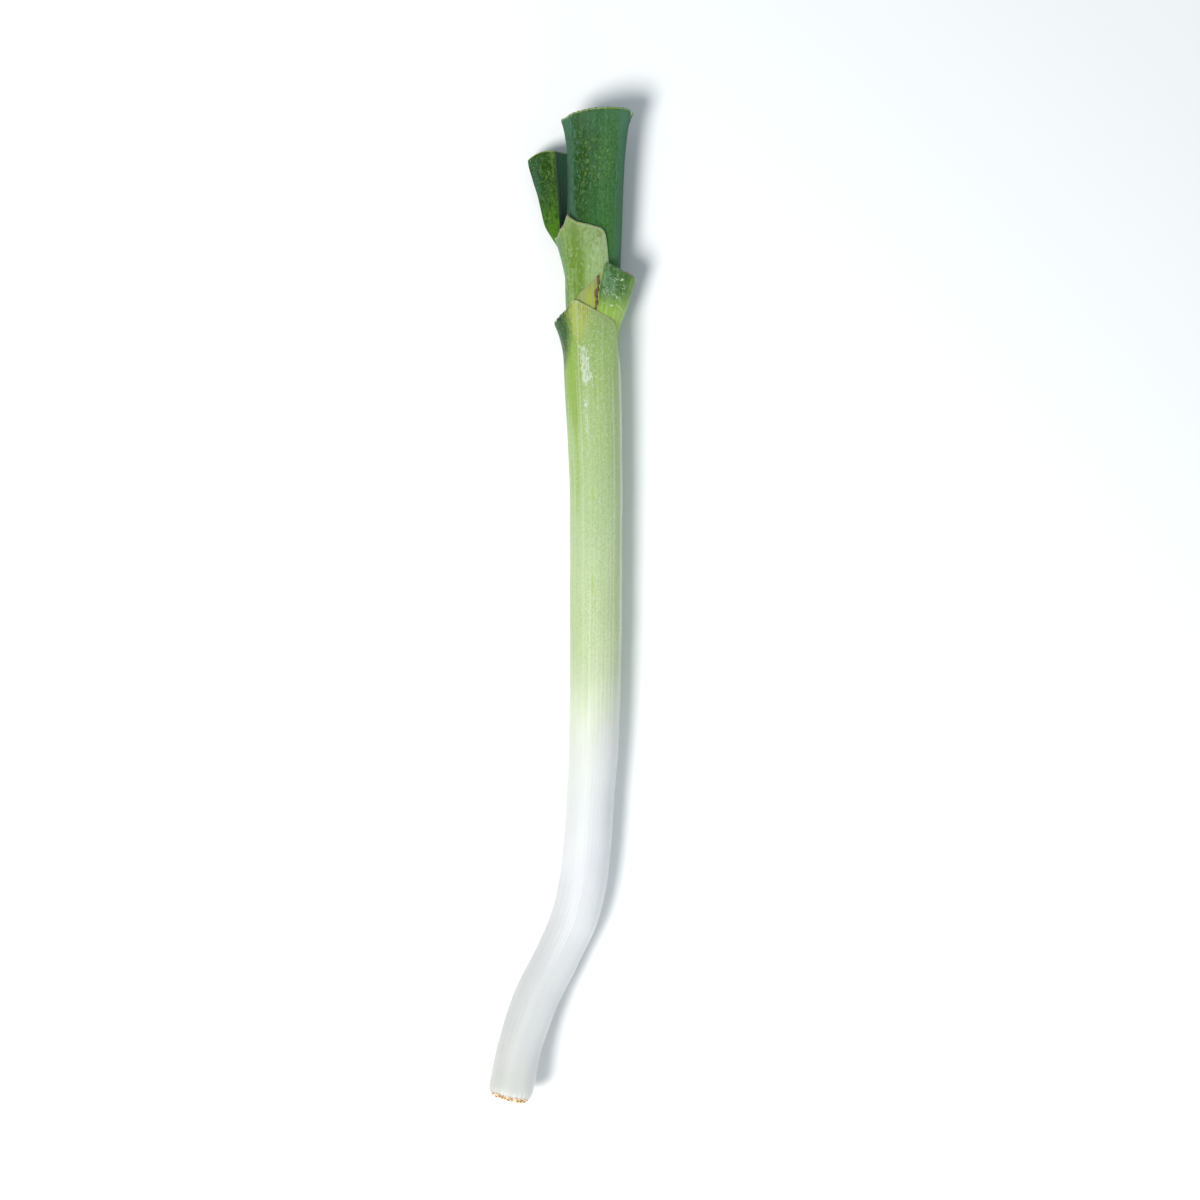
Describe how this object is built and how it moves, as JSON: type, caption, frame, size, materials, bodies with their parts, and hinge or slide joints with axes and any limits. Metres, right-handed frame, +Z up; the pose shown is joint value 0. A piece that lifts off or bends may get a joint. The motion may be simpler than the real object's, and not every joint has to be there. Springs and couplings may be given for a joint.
{
  "type": "scallion",
  "caption": "Long-stalked scallion trimmed at both ends, lying on its side: nested leaf sheaths round a root plate, with cut green blades at the top.",
  "frame": {"origin": "on the table, below the middle of the whole plant's box", "axes": "+Y along the stalk, from the root end towards the cut leaves; +Z up; +X towards the side on which the second leaf's blade leaves"},
  "size_m": [0.0612, 0.4148, 0.0239],
  "materials": {
    "outer_skin": "smooth waxy skin, pale green going to white towards the root",
    "second_skin": "smooth waxy skin, yellow-green sheath and a dark green blade stub",
    "third_skin": "smooth waxy skin, pale green sheath and a dark green blade",
    "blade_skin": "waxy dark green blade with a blue-grey bloom and fine lengthwise veins",
    "root_tissue": "matt cut stem tissue, cream with a brown dried rim"
  },
  "bodies": {
    "root": {"root_plate": "root_tissue", "outer_sheath": "outer_skin", "second_leaf": "second_skin", "third_leaf": "third_skin", "inner_leaf": "blade_skin"}
  },
  "joints": []
}
